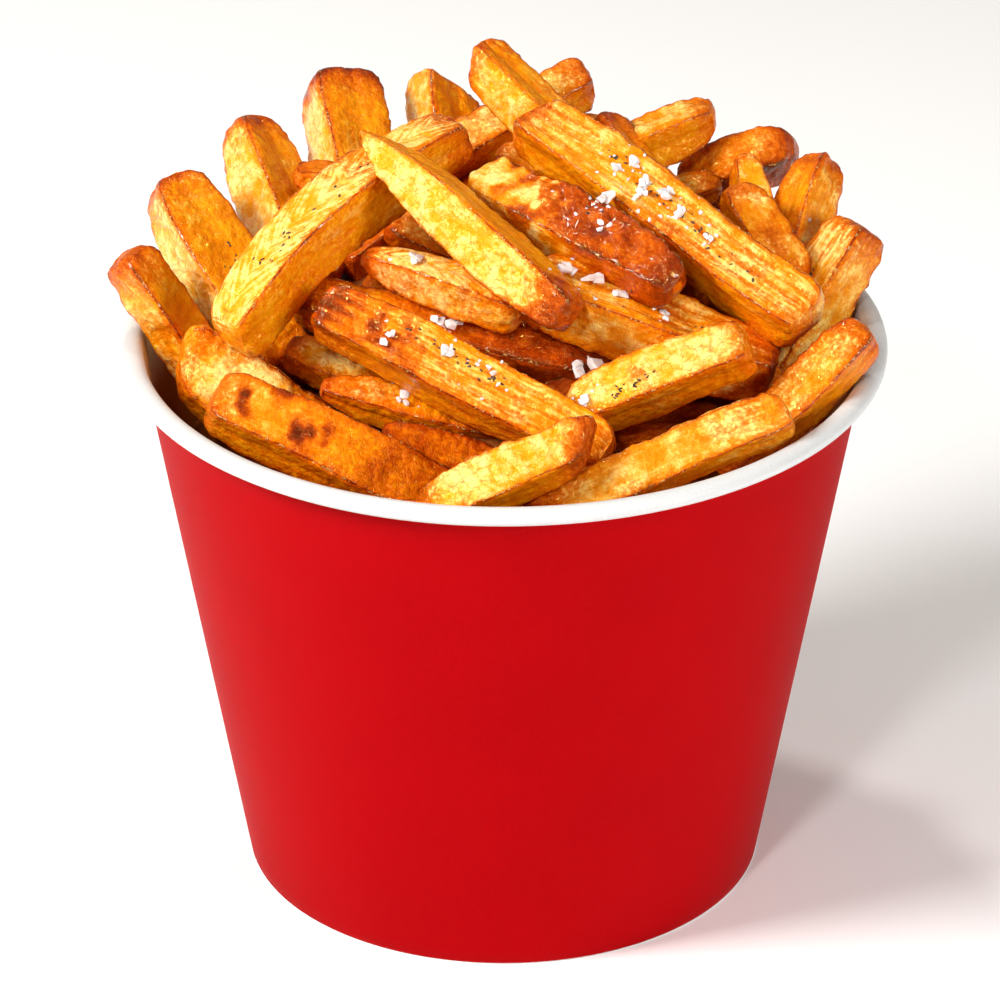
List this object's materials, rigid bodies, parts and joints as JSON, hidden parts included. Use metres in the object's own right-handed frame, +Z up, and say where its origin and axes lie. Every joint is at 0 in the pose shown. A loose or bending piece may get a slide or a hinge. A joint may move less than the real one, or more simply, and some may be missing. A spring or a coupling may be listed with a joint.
{
  "type": "fried plantain in a cup",
  "caption": "Fried plantain sticks with coarse salt, heaped above the rolled rim of a tapering round paper cup",
  "frame": {"origin": "centre of the cup's foot ring, on the surface it stands on, at the bottom centre of the bounding box", "axes": "+Z up along the cup's axis, -Y towards the viewer of the picture, +X to the viewer's right"},
  "size_m": [0.1707, 0.1678, 0.1743],
  "materials": {
    "cup_wall": "coated paper board, satin red outside, white inside and on the rolled rim",
    "cup_base": "uncoated white paper board",
    "fried_plantain": "deep-fried crust, golden to dark caramel, lightly oiled, with white salt flakes"
  },
  "bodies": {
    "root": {"cup_wall": "cup_wall", "cup_base": "cup_base", "plantain_heap": "fried_plantain"}
  },
  "joints": []
}
